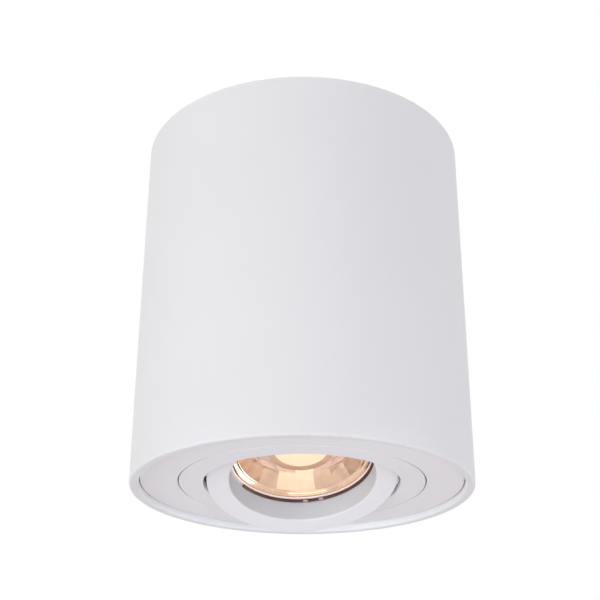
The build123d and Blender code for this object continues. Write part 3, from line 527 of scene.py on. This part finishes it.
def finish_makers():
    """What makes each finish: a function and its values. Most are named after a material slot."""
    tones = bpy.context.scene.spotlight_colours
    return {
        "white_powder_coat": (powder_coat, dict(tone=tones.coat, rim=tones.painted_rim_shade)),
        "ring_powder_coat": (powder_coat, dict(tone=tones.ring_coat)),
        "plain_aluminium": (bare_metal, dict(
            dark=(0.56, 0.57, 0.58), light=(0.74, 0.75, 0.76),
            grain=0.0004, gloss=(0.28, 0.45), stretch=(0.04, 1.0, 1.0),
        )),
        "screw_steel": (bare_metal, dict(
            dark=(0.50, 0.50, 0.47), light=(0.66, 0.67, 0.69), grain=0.0012, gloss=(0.2, 0.4),
        )),
        "spring_steel": (bare_metal, dict(
            dark=(0.40, 0.41, 0.42), light=(0.60, 0.61, 0.62),
            grain=0.0004, gloss=(0.2, 0.38), stretch=(1.0, 1.0, 0.05),
        )),
        "clip_steel": (bare_metal, dict(
            dark=lighter(tones.wire, 0.6), light=lighter(tones.wire, 1.5),
            grain=0.0008, gloss=(0.3, 0.5),
        )),
        "grommet_rubber": (moulded, dict(
            dark=(0.018, 0.018, 0.018), light=(0.035, 0.035, 0.036),
            gloss=(0.6, 0.85), grain=0.0004, depth=0.00003,
        )),
        "terminal_plastic": (moulded, dict(
            dark=(0.66, 0.65, 0.59), light=(0.74, 0.73, 0.68),
            gloss=(0.38, 0.55), grain=0.0005, depth=0.00002,
        )),
        "terminal_brass": (bare_metal, dict(
            dark=(0.55, 0.36, 0.12), light=(0.78, 0.57, 0.24), grain=0.0010, gloss=(0.18, 0.4),
        )),
        "slip_plastic": (moulded, dict(
            dark=(0.72, 0.72, 0.70), light=(0.80, 0.80, 0.79),
            gloss=(0.25, 0.4), grain=0.0006, depth=0.00001,
        )),
        "wire_sleeve": (moulded, dict(
            dark=lighter(tones.wire_sleeve, 0.85), light=tones.wire_sleeve,
            gloss=(0.3, 0.5), grain=0.0004, depth=0.00001,
        )),
        "live_sleeve": (sleeve, dict(tone=tones.live)),
        "neutral_sleeve": (sleeve, dict(tone=tones.neutral)),
        "earth_sleeve": (sleeve, dict(tone=tones.earth)),
        "holder_ceramic": (moulded, dict(
            dark=(0.68, 0.65, 0.56), light=(0.78, 0.76, 0.69),
            gloss=(0.5, 0.75), grain=0.0003, depth=0.00003,
        )),
        "lens_glass": (clear_lens, dict(tone=tones.glass)),
        "frosted_rim": (frosted_rim, dict(tone=tones.frost)),
        # Painted light: the emission strengths below make the reflector's facets, lip and floor
        # glow though they are no lamp.
        "copper_mirror": (copper_mirror, dict(
            tone=tones.copper, glow=tones.glow, strength=0.1,
        )),
        "copper_post": (copper_mirror, dict(
            tone=tones.dark_copper, glow=tones.glow, strength=0.1,
        )),
        "copper_floor": (copper_mirror, dict(
            tone=tones.pale_copper, glow=tones.painted_floor_glow, strength=0.15,
        )),
        "glowing_disc": (glowing_disc, dict(tone=tones.glow)),
        "board": (circuit_board, {}),
        "lamp_plastic": (moulded, dict(
            dark=(0.76, 0.76, 0.75), light=(0.82, 0.82, 0.81),
            gloss=(0.22, 0.34), grain=0.0008, depth=0.00001,
        )),
    }


def finish(name):
    """A finish, made when it is first asked for."""
    if name not in finishes:
        maker, values = finish_makers()[name]
        finishes[name] = maker(name, **values)
    return finishes[name]


def dress(*names, finished=None):
    """Gives CAD nodes the finish of their material slot, or a named finish."""
    for name in names:
        nodes[name].data.materials.clear()
        nodes[name].data.materials.append(finish(finished or slots[name]))


def select_only(piece):
    """Selects one object alone and makes it the active one."""
    bpy.ops.object.select_all(action="DESELECT")
    piece.select_set(True)
    bpy.context.view_layer.objects.active = piece


def draw_outline(name, outline, sides, turn=0.0):
    """Draws a turned surface about Z through (radius, height) points, and stays in edit mode."""
    bpy.ops.object.select_all(action="DESELECT")
    radius, height = outline[0]
    bpy.ops.mesh.primitive_circle_add(
        vertices=sides, radius=radius, location=(0, 0, height), rotation=(0, 0, turn)
    )
    bpy.ops.object.transform_apply(location=True, rotation=True, scale=True)
    piece = bpy.context.object
    piece.name = name
    piece.data.name = name
    bpy.ops.object.mode_set(mode="EDIT")
    bpy.ops.mesh.select_mode(type="EDGE")
    bpy.ops.mesh.select_all(action="SELECT")
    for (radius, height), (next_radius, next_height) in zip(outline, outline[1:]):
        growth = next_radius / radius
        bpy.ops.mesh.extrude_region_move()
        bpy.ops.transform.resize(value=(growth, growth, 1.0), center_override=(0, 0, 0))
        bpy.ops.transform.translate(value=(0, 0, next_height - height))
    return piece


def turned_ring(name, outline, sides, smooth=SMOOTH):
    """A closed ring, turned about Z."""
    piece = draw_outline(name, outline, sides)
    bpy.ops.mesh.select_all(action="DESELECT")
    bpy.ops.mesh.select_non_manifold()
    bpy.ops.mesh.bridge_edge_loops()
    return close_up(piece, smooth)


def turned_disc(name, outline, sides, smooth=SMOOTH):
    """A closed disc, turned about Z, whose outline's two ends are flat faces."""
    piece = draw_outline(name, outline, sides)
    bpy.ops.mesh.select_all(action="SELECT")
    bpy.ops.mesh.fill_holes(sides=0)
    return close_up(piece, smooth)


def close_up(piece, smooth):
    """Turns all faces outwards, leaves edit mode and smooths the bends under an angle."""
    bpy.ops.mesh.select_all(action="SELECT")
    bpy.ops.mesh.normals_make_consistent(inside=False)
    bpy.ops.object.mode_set(mode="OBJECT")
    bpy.ops.object.shade_smooth_by_angle(angle=math.radians(smooth))
    if not piece.data.polygons:
        raise RuntimeError(f"{piece.name} has no faces")
    return piece


def join(first, *others):
    """Joins pieces into the first one."""
    select_only(first)
    for piece in others:
        piece.select_set(True)
    bpy.ops.object.join()
    return first


def settle(piece, body, node, place=None, finished=None):
    """Puts a piece in its place and lets it ride there in its node's stead.

    The piece gets the finish of the node's material slot, or a named finish.
    """
    select_only(piece)
    if place is not None:
        piece.matrix_world = place
    bpy.ops.object.transform_apply(location=True, rotation=True, scale=True)
    piece.data.materials.clear()
    piece.data.materials.append(finish(finished or slots[node]))
    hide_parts(node)
    if body is not None:
        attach(piece, body)
    return piece


class SPOTLIGHT_OT_housing(bpy.types.Operator):
    """Coats the tube, and finishes the ceiling plate, its screws and the cable grommet"""

    bl_idname = "spotlight.housing"
    bl_label = "Housing"

    def execute(self, context):
        dress("housing_tube", "ceiling_plate", "ceiling_plate_screws", "cable_grommet")
        return {"FINISHED"}


class SPOTLIGHT_OT_terminals(bpy.types.Operator):
    """Finishes the terminal block, its metal parts and the earth connection"""

    bl_idname = "spotlight.terminals"
    bl_label = "Terminals"

    def execute(self, context):
        dress(
            "terminal_block", "terminal_clamps", "terminal_screws", "terminal_fixing_screws",
            "earth_screw", "earth_tag",
        )
        return {"FINISHED"}


class SPOTLIGHT_OT_rings(bpy.types.Operator):
    """Coats the bezel, the swivel ring and the tilt ring, and finishes what holds them together"""

    bl_idname = "spotlight.rings"
    bl_label = "Bezel and rings"

    def execute(self, context):
        dress(
            "front_bezel", "bezel_springs", "bezel_rivets", "swivel_retainers",
            "retainer_screws", "swivel_ring", "pivot_spacers", "pivot_springs",
            "pivot_screws", "tilt_ring", "lamp_retaining_wire",
        )
        dress("wire_sleeves", finished="wire_sleeve")
        return {"FINISHED"}


class SPOTLIGHT_OT_lampholder(bpy.types.Operator):
    """Finishes the lampholder, its bracket, contacts and screws"""

    bl_idname = "spotlight.lampholder"
    bl_label = "Lampholder"

    def execute(self, context):
        dress(
            "lampholder_bracket", "bracket_screws", "lampholder_body", "lampholder_cap",
            "lampholder_contacts", "lampholder_screws",
        )
        return {"FINISHED"}


class SPOTLIGHT_OT_lamp_body(bpy.types.Operator):
    """Finishes the lamp's shell, base, pins and boards"""

    bl_idname = "spotlight.lamp_body"
    bl_label = "Lamp body"

    def execute(self, context):
        dress("lamp_shell", "lamp_base", "lamp_pins", "lamp_led_board", "lamp_driver_board")
        return {"FINISHED"}


class SPOTLIGHT_OT_lens(bpy.types.Operator):
    """Models the clear lens, with a flat window and a raised ledge, and the bead on its rim"""

    bl_idname = "spotlight.lens"
    bl_label = "Lens"

    def execute(self, context):
        lamp = context.scene.spotlight_lamp
        radius, front, back = reach("lamp_lens")
        window = front + lamp.window_inset
        ledge = window - lamp.step_height
        bead_inner = radius - 2 * lamp.bead_radius
        lens_edge = bead_inner - lamp.clearance
        lens_back = back - lamp.flange_thickness - lamp.lens_gap
        edge_back = lens_back - lamp.flange_rise
        lens = turned_disc(
            "clear_lens",
            [
                (lamp.window_radius, window),
                (lamp.window_radius + lamp.step_width, ledge),
                (lens_edge, ledge),
                (lens_edge, edge_back),
                (lamp.flange_bore, lens_back),
            ],
            lamp.sides,
            smooth=SMOOTH_FINE_STEPS,
        )
        settle(lens, "lamp", "lamp_lens", lamp_place)
        skirt = radius - lamp.skirt_wall
        bead = turned_ring(
            "lens_bead",
            [
                *self.half_round(lamp, radius, front),
                (radius, lens_back),
                (skirt, lens_back),
                (skirt, edge_back),
                (bead_inner, edge_back),
            ],
            lamp.sides,
        )
        settle(bead, "lamp", "lamp_lens", lamp_place, finished="frosted_rim")
        return {"FINISHED"}

    def half_round(self, lamp, radius, front):
        """The bead's half round, from its inner side over its front to its outer side."""
        middle = radius - lamp.bead_radius
        outline = []
        for side in range(lamp.bead_sides + 1):
            turn = math.radians(180 - 180 * side / lamp.bead_sides)
            across = middle + lamp.bead_radius * math.cos(turn)
            outline.append((across, front + lamp.bead_radius * (1 - math.sin(turn))))
        return outline


class SPOTLIGHT_OT_reflector(bpy.types.Operator):
    """Models the reflector: facets, flange, floor and the lip round the glowing disc"""

    bl_idname = "spotlight.reflector"
    bl_label = "Reflector"

    def execute(self, context):
        lamp = context.scene.spotlight_lamp
        _, front, _ = reach("lamp_reflector")
        disc_radius, disc_front, _ = reach("lamp_emitter")
        floor = front + lamp.floor_depth
        floor_front = floor + lamp.clearance / 2
        floor_back = floor + lamp.reflector_wall
        post_bore = disc_radius + 2 * lamp.clearance
        post_radius = post_bore + lamp.post_wall
        floor_bore = post_bore + lamp.post_wall / 2
        flange_back = front - lamp.clearance
        bowl = self.bowl(lamp, flange_back, floor)
        post = turned_ring(
            "reflector_post",
            [
                (post_bore, floor_back),
                (post_bore, disc_front),
                (post_radius - lamp.post_edge, disc_front),
                (post_radius, disc_front + lamp.post_edge),
                (post_radius + lamp.post_draft, floor_back),
            ],
            lamp.sides,
        )
        flange = turned_ring(
            "reflector_flange",
            [
                *self.ridges(lamp, flange_back - lamp.flange_thickness),
                (lamp.flange_edge, flange_back - lamp.flange_rise),
                (lamp.flange_bore, flange_back),
            ],
            lamp.sides,
            smooth=SMOOTH_FINE_STEPS,
        )
        settle(join(bowl, flange), "lamp", "lamp_reflector", lamp_place)
        settle(post, "lamp", "lamp_reflector", lamp_place, finished="copper_post")
        plate = turned_ring(
            "reflector_floor",
            [
                (floor_bore, floor_front),
                (lamp.floor_radius, floor_front),
                (lamp.floor_radius, floor_back),
                (floor_bore, floor_back),
            ],
            lamp.sides,
        )
        settle(plate, "lamp", "lamp_reflector", lamp_place, finished="copper_floor")
        return {"FINISHED"}

    def ridges(self, lamp, flange_front):
        """The flange's sloped front, in steps that start with a narrow flatter band."""
        width = (lamp.flange_edge - lamp.flange_bore) / lamp.flange_steps
        rise = lamp.flange_rise / lamp.flange_steps
        outline = []
        for step in range(lamp.flange_steps):
            start = lamp.flange_bore + step * width
            band_end = start + lamp.band_width * width
            outline.append((start, flange_front - step * rise))
            outline.append((band_end, flange_front - (step + lamp.band_rise) * rise))
        return [*outline, (lamp.flange_edge, flange_front - lamp.flange_rise)]

    def bowl(self, lamp, front, floor):
        """The ring of facets, with a wall behind them."""
        outline = [(lamp.facet_radius, front), (lamp.floor_radius, floor)]
        piece = draw_outline("faceted_reflector", outline, lamp.facet_count, lamp.facet_turn)
        bpy.ops.mesh.select_all(action="SELECT")
        bpy.ops.object.mode_set(mode="OBJECT")
        facet = piece.data.polygons[0]
        if facet.normal.dot(facet.center * Vector((1, 1, 0))) > 0:
            bpy.ops.object.mode_set(mode="EDIT")
            bpy.ops.mesh.flip_normals()
            bpy.ops.object.mode_set(mode="OBJECT")
        bpy.ops.object.modifier_add(type="BEVEL")
        edge = piece.modifiers[-1]
        edge.width = lamp.facet_edge
        edge.segments = 2
        edge.limit_method = "ANGLE"
        edge.angle_limit = lamp.facet_bend
        bpy.ops.object.modifier_apply(modifier=edge.name)
        bpy.ops.object.modifier_add(type="SOLIDIFY")
        wall = piece.modifiers[-1]
        wall.thickness = lamp.reflector_wall
        wall.offset = -1.0
        bpy.ops.object.modifier_apply(modifier=wall.name)
        return piece


class SPOTLIGHT_OT_glow_disc(bpy.types.Operator):
    """Models the glowing disc, a thick diffuser with a gentle crown"""

    bl_idname = "spotlight.glow_disc"
    bl_label = "Glowing disc"

    def execute(self, context):
        lamp = context.scene.spotlight_lamp
        radius, front, back = reach("lamp_emitter")
        rounded = 3 * lamp.disc_crown
        crown_shares = (0.93, 0.75, 0.5, 0.25)
        outline = [
            (radius, back - lamp.clearance),
            (radius, front + rounded),
            (radius - rounded / 3, front + rounded / 2),
            *((radius * share, front + lamp.disc_crown * share**2) for share in crown_shares),
        ]
        disc = turned_disc("glow_disc", outline, lamp.sides)
        settle(disc, "lamp", "lamp_emitter", lamp_place)
        return {"FINISHED"}


class SPOTLIGHT_OT_leads(bpy.types.Operator):
    """Lays the two leads to the lampholder, each cut in two halves at its bow, and the earth lead
    """

    bl_idname = "spotlight.leads"
    bl_label = "Leads"

    def execute(self, context):
        sizes = context.scene.spotlight_leads
        for node, pole, side in (("live_lead", -1, -1), ("neutral_lead", 0, 1)):
            route = self.route(sizes, pole, side)
            upper = self.lay(f"{node}_upper", route, sizes)
            bpy.ops.object.duplicate()
            lower = bpy.context.object
            lower.name = f"{node}_lower"
            self.cut(upper, route, clear_outer=True)
            self.cut(lower, route, clear_inner=True)
            settle(upper, None, node)
            settle(lower, None, node)
            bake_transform(upper)
            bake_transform(lower)
        earth = self.lay("earth_sleeve", self.earth_route(sizes), sizes)
        settle(earth, "housing", "earth_lead")
        return {"FINISHED"}

    def route(self, sizes, pole, side):
        """The five points of a lead's route, from its pole to the lampholder."""
        _, _, cap_back = reach("lampholder_cap")
        pole_end = Vector((pole * sizes.pole_pitch, sizes.start_y, sizes.pole_z))
        pole_exit = Vector((pole * sizes.pole_pitch, sizes.exit_y, sizes.pole_z))
        holder_x = side * sizes.holder_x
        rise = cap_back + sizes.holder_rise
        entry = cap_back - sizes.holder_entry
        holder_exit = lamp_place @ Vector((holder_x, sizes.holder_y, rise))
        holder_end = lamp_place @ Vector((holder_x, sizes.holder_y, entry))
        bow = (pole_exit + holder_exit) / 2 + Vector((0, sizes.bow_y, sizes.bow_z))
        return [pole_end, pole_exit, bow, holder_exit, holder_end]

    def earth_route(self, sizes):
        """The points of the earth lead's route, from its pole to its tag."""
        pole_end = Vector((sizes.pole_pitch, sizes.start_y, sizes.pole_z))
        pole_exit = pole_end + Vector((0, sizes.block_run, 0))
        tag_end = Vector((sizes.tag_x, sizes.tag_y, sizes.tag_z))
        tag_exit = tag_end - Vector((0, sizes.tag_run, 0))
        bow = (pole_exit + tag_exit) / 2
        bow.y = sizes.exit_y
        return [
            pole_end, pole_end.lerp(pole_exit, sizes.block_hold), pole_exit, bow,
            tag_exit, tag_end.lerp(tag_exit, sizes.tag_hold), tag_end,
        ]

    def lay(self, name, route, sizes):
        """A round sleeve along the route's smooth line."""
        line = bpy.data.curves.new(name, "CURVE")
        line.dimensions = "3D"
        spline = line.splines.new("NURBS")
        spline.points.add(len(route) - 1)
        for control, place in zip(spline.points, route):
            control.co = (*place, 1.0)
        spline.order_u = 3
        spline.use_endpoint_u = True
        line.resolution_u = sizes.along
        line.bevel_depth = sizes.radius
        line.bevel_resolution = sizes.around
        line.use_fill_caps = True
        lead = bpy.data.objects.new(name, line)
        bpy.context.scene.collection.objects.link(lead)
        select_only(lead)
        bpy.ops.object.convert(target="MESH")
        bpy.ops.object.shade_smooth_by_angle(angle=math.radians(SMOOTH_LEADS))
        return bpy.context.object

    def cut(self, lead, route, **side):
        """Cuts a lead across at its bow and keeps one half, closed at the cut."""
        select_only(lead)
        bpy.ops.object.mode_set(mode="EDIT")
        bpy.ops.mesh.select_all(action="SELECT")
        across = (route[3] - route[1]).normalized()
        bpy.ops.mesh.bisect(plane_co=route[2], plane_no=across, use_fill=True, **side)
        bpy.ops.mesh.select_all(action="SELECT")
        bpy.ops.mesh.normals_make_consistent(inside=False)
        bpy.ops.object.mode_set(mode="OBJECT")


class SPOTLIGHT_OT_studio(bpy.types.Operator):
    """Sets up the floor, the soft light all round, the lights and the camera"""

    bl_idname = "spotlight.studio"
    bl_label = "Studio"

    def execute(self, context):
        studio = context.scene.spotlight_studio
        tones = context.scene.spotlight_colours
        self.floor(studio)
        self.sky(studio, tones.soft_light)
        shining = {
            "key_light": tones.key_light,
            "fill_light": tones.soft_light,
            "back_light": tones.soft_light,
        }
        for name, tone in shining.items():
            light = self.lamp(name, studio, tone)
            light.visible_glossy = False
            light.visible_transmission = False
        mirrored = {
            "rim_light": tones.soft_light,
            "front_card": tones.key_light,
            "low_card": tones.key_light,
        }
        for name, tone in mirrored.items():
            light = self.lamp(name, studio, tone)
            light.visible_diffuse = False
        self.recess_light("recess_light_left", studio, tones.recess_light, side=-1)
        self.recess_light("recess_light_right", studio, tones.recess_light, side=1)
        self.camera(studio)
        context.scene.view_settings.view_transform = "Standard"
        return {"FINISHED"}

    def floor(self, studio):
        """A wide pale floor, well below the spotlight."""
        bpy.ops.object.select_all(action="DESELECT")
        bpy.ops.mesh.primitive_plane_add(
            size=studio.floor_size, location=(0, 0, studio.floor_height)
        )
        floor = bpy.context.object
        floor.name = "studio_floor"
        material, shader, place = start_material("pale_floor")
        drift = noise(material, place, grain=0.5, detail=2.0)
        tone = shades(material, drift, dark=(0.90, 0.90, 0.90), light=(0.93, 0.93, 0.93))
        link(material, tone, shader, "Base Color")
        shader.inputs["Roughness"].default_value = 0.8
        white = add_node(material, "ShaderNodeEmission", {"Color": WHITE})
        inputs = {0: self.seen_share(material), 1: studio.floor_white}
        share = add_node(material, "ShaderNodeMath", inputs, operation="MULTIPLY")
        mix = add_node(
            material, "ShaderNodeMixShader",
            {0: share.outputs["Value"], 1: shader.outputs["BSDF"], 2: white.outputs["Emission"]},
        )
        surface = material.node_tree.nodes["Material Output"]
        link(material, mix.outputs["Shader"], surface, "Surface")
        floor.data.materials.append(material)

    def sky(self, studio, tone):
        """Even light all round, which is white where it is seen or mirrored."""
        world = bpy.data.worlds.new("studio_sky")
        world.use_nodes = True
        bpy.context.scene.world = world
        lit = world.node_tree.nodes["Background"]
        lit.inputs["Color"].default_value = (*tone, 1.0)
        lit.inputs["Strength"].default_value = studio.sky
        white = add_node(world, "ShaderNodeBackground", {"Color": WHITE, "Strength": 1.0})
        inputs = {
            0: self.seen_share(world),
            1: lit.outputs["Background"],
            2: white.outputs["Background"],
        }
        mix = add_node(world, "ShaderNodeMixShader", inputs)
        surface = world.node_tree.nodes["World Output"]
        link(world, mix.outputs["Shader"], surface, "Surface")

    def seen_share(self, surface):
        """1 for rays from the camera, mirrors and glass, and 0 for rays that light the object."""
        ray = add_node(surface, "ShaderNodeLightPath", {}).outputs
        inputs = {0: ray["Is Glossy Ray"], 1: ray["Is Transmission Ray"]}
        mirrored = add_node(surface, "ShaderNodeMath", inputs, operation="MAXIMUM")
        inputs = {0: ray["Is Camera Ray"], 1: mirrored.outputs["Value"]}
        seen = add_node(surface, "ShaderNodeMath", inputs, operation="MAXIMUM")
        return seen.outputs["Value"]

    def lamp(self, name, studio, tone):
        """A large round light, out of the camera's sight, that faces the spotlight."""
        place = Vector(getattr(studio, f"{name}_place"))
        target = (cad_low + cad_high) / 2
        bpy.ops.object.light_add(type="AREA", location=place)
        light = bpy.context.object
        light.name = name
        light.data.shape = "DISK"
        light.data.size = getattr(studio, f"{name}_size")
        light.data.energy = getattr(studio, f"{name}_power")
        light.data.color = tone
        light.rotation_euler = (target - place).to_track_quat("-Z", "Y").to_euler()
        light.visible_camera = False
        return light

    def recess_light(self, name, studio, tone, side):
        """A narrow soft beam from one side on the wall of the recess in front of the lamp."""
        mirror = Vector((side, 1.0, 1.0))
        place = Vector(studio.recess_place) * mirror
        target = Vector(studio.recess_target) * mirror
        bpy.ops.object.light_add(type="SPOT", location=place)
        light = bpy.context.object
        light.name = name
        light.data.energy = studio.recess_power
        light.data.color = tone
        light.data.spot_size = studio.recess_width
        light.data.spot_blend = 1.0
        light.data.shadow_soft_size = studio.recess_source
        light.visible_glossy = False
        light.visible_transmission = False
        light.rotation_euler = (target - place).to_track_quat("-Z", "Y").to_euler()

    def camera(self, studio):
        """The camera, which looks up at the lamp from in front."""
        bpy.ops.object.camera_add()
        camera = bpy.context.object
        camera.name = "studio_camera"
        camera.data.lens = studio.lens
        camera.data.sensor_width = studio.picture_width
        camera.data.clip_start = studio.nearest
        camera.matrix_world = (
            Matrix.Translation((0, -studio.camera_distance, studio.camera_height))
            @ Matrix.Rotation(studio.camera_turn, 4, "Z")
            @ Matrix.Rotation(math.pi / 2 + studio.camera_pitch, 4, "X")
            @ Matrix.Rotation(studio.camera_roll, 4, "Z")
        )
        bpy.context.scene.camera = camera


class SPOTLIGHT_PT_panel(bpy.types.Panel):
    """Lists the steps that dress the spotlight"""

    bl_idname = "SPOTLIGHT_PT_panel"
    bl_label = "Ceiling spotlight"
    bl_space_type = "VIEW_3D"
    bl_region_type = "UI"
    bl_category = "Spotlight"

    def draw(self, context):
        for step in steps:
            self.layout.operator(step.bl_idname)


steps = (
    SPOTLIGHT_OT_housing,
    SPOTLIGHT_OT_terminals,
    SPOTLIGHT_OT_rings,
    SPOTLIGHT_OT_lampholder,
    SPOTLIGHT_OT_lamp_body,
    SPOTLIGHT_OT_lens,
    SPOTLIGHT_OT_reflector,
    SPOTLIGHT_OT_glow_disc,
    SPOTLIGHT_OT_leads,
    SPOTLIGHT_OT_studio,
)
settings = {
    "spotlight_lamp": SpotlightLamp,
    "spotlight_leads": SpotlightLeads,
    "spotlight_colours": SpotlightColours,
    "spotlight_studio": SpotlightStudio,
}


def register():
    for kind in (*settings.values(), *steps, SPOTLIGHT_PT_panel):
        bpy.utils.register_class(kind)
    for name, kind in settings.items():
        setattr(bpy.types.Scene, name, PointerProperty(type=kind))


def unregister():
    for name in settings:
        delattr(bpy.types.Scene, name)
    for kind in reversed((*settings.values(), *steps, SPOTLIGHT_PT_panel)):
        bpy.utils.unregister_class(kind)


def main():
    register()
    bpy.ops.spotlight.housing()
    bpy.ops.spotlight.terminals()
    bpy.ops.spotlight.rings()
    bpy.ops.spotlight.lampholder()
    bpy.ops.spotlight.lamp_body()
    bpy.ops.spotlight.lens()
    bpy.ops.spotlight.reflector()
    bpy.ops.spotlight.glow_disc()
    bpy.ops.spotlight.leads()
    bpy.ops.spotlight.studio()


if __name__ == "__main__":
    main()
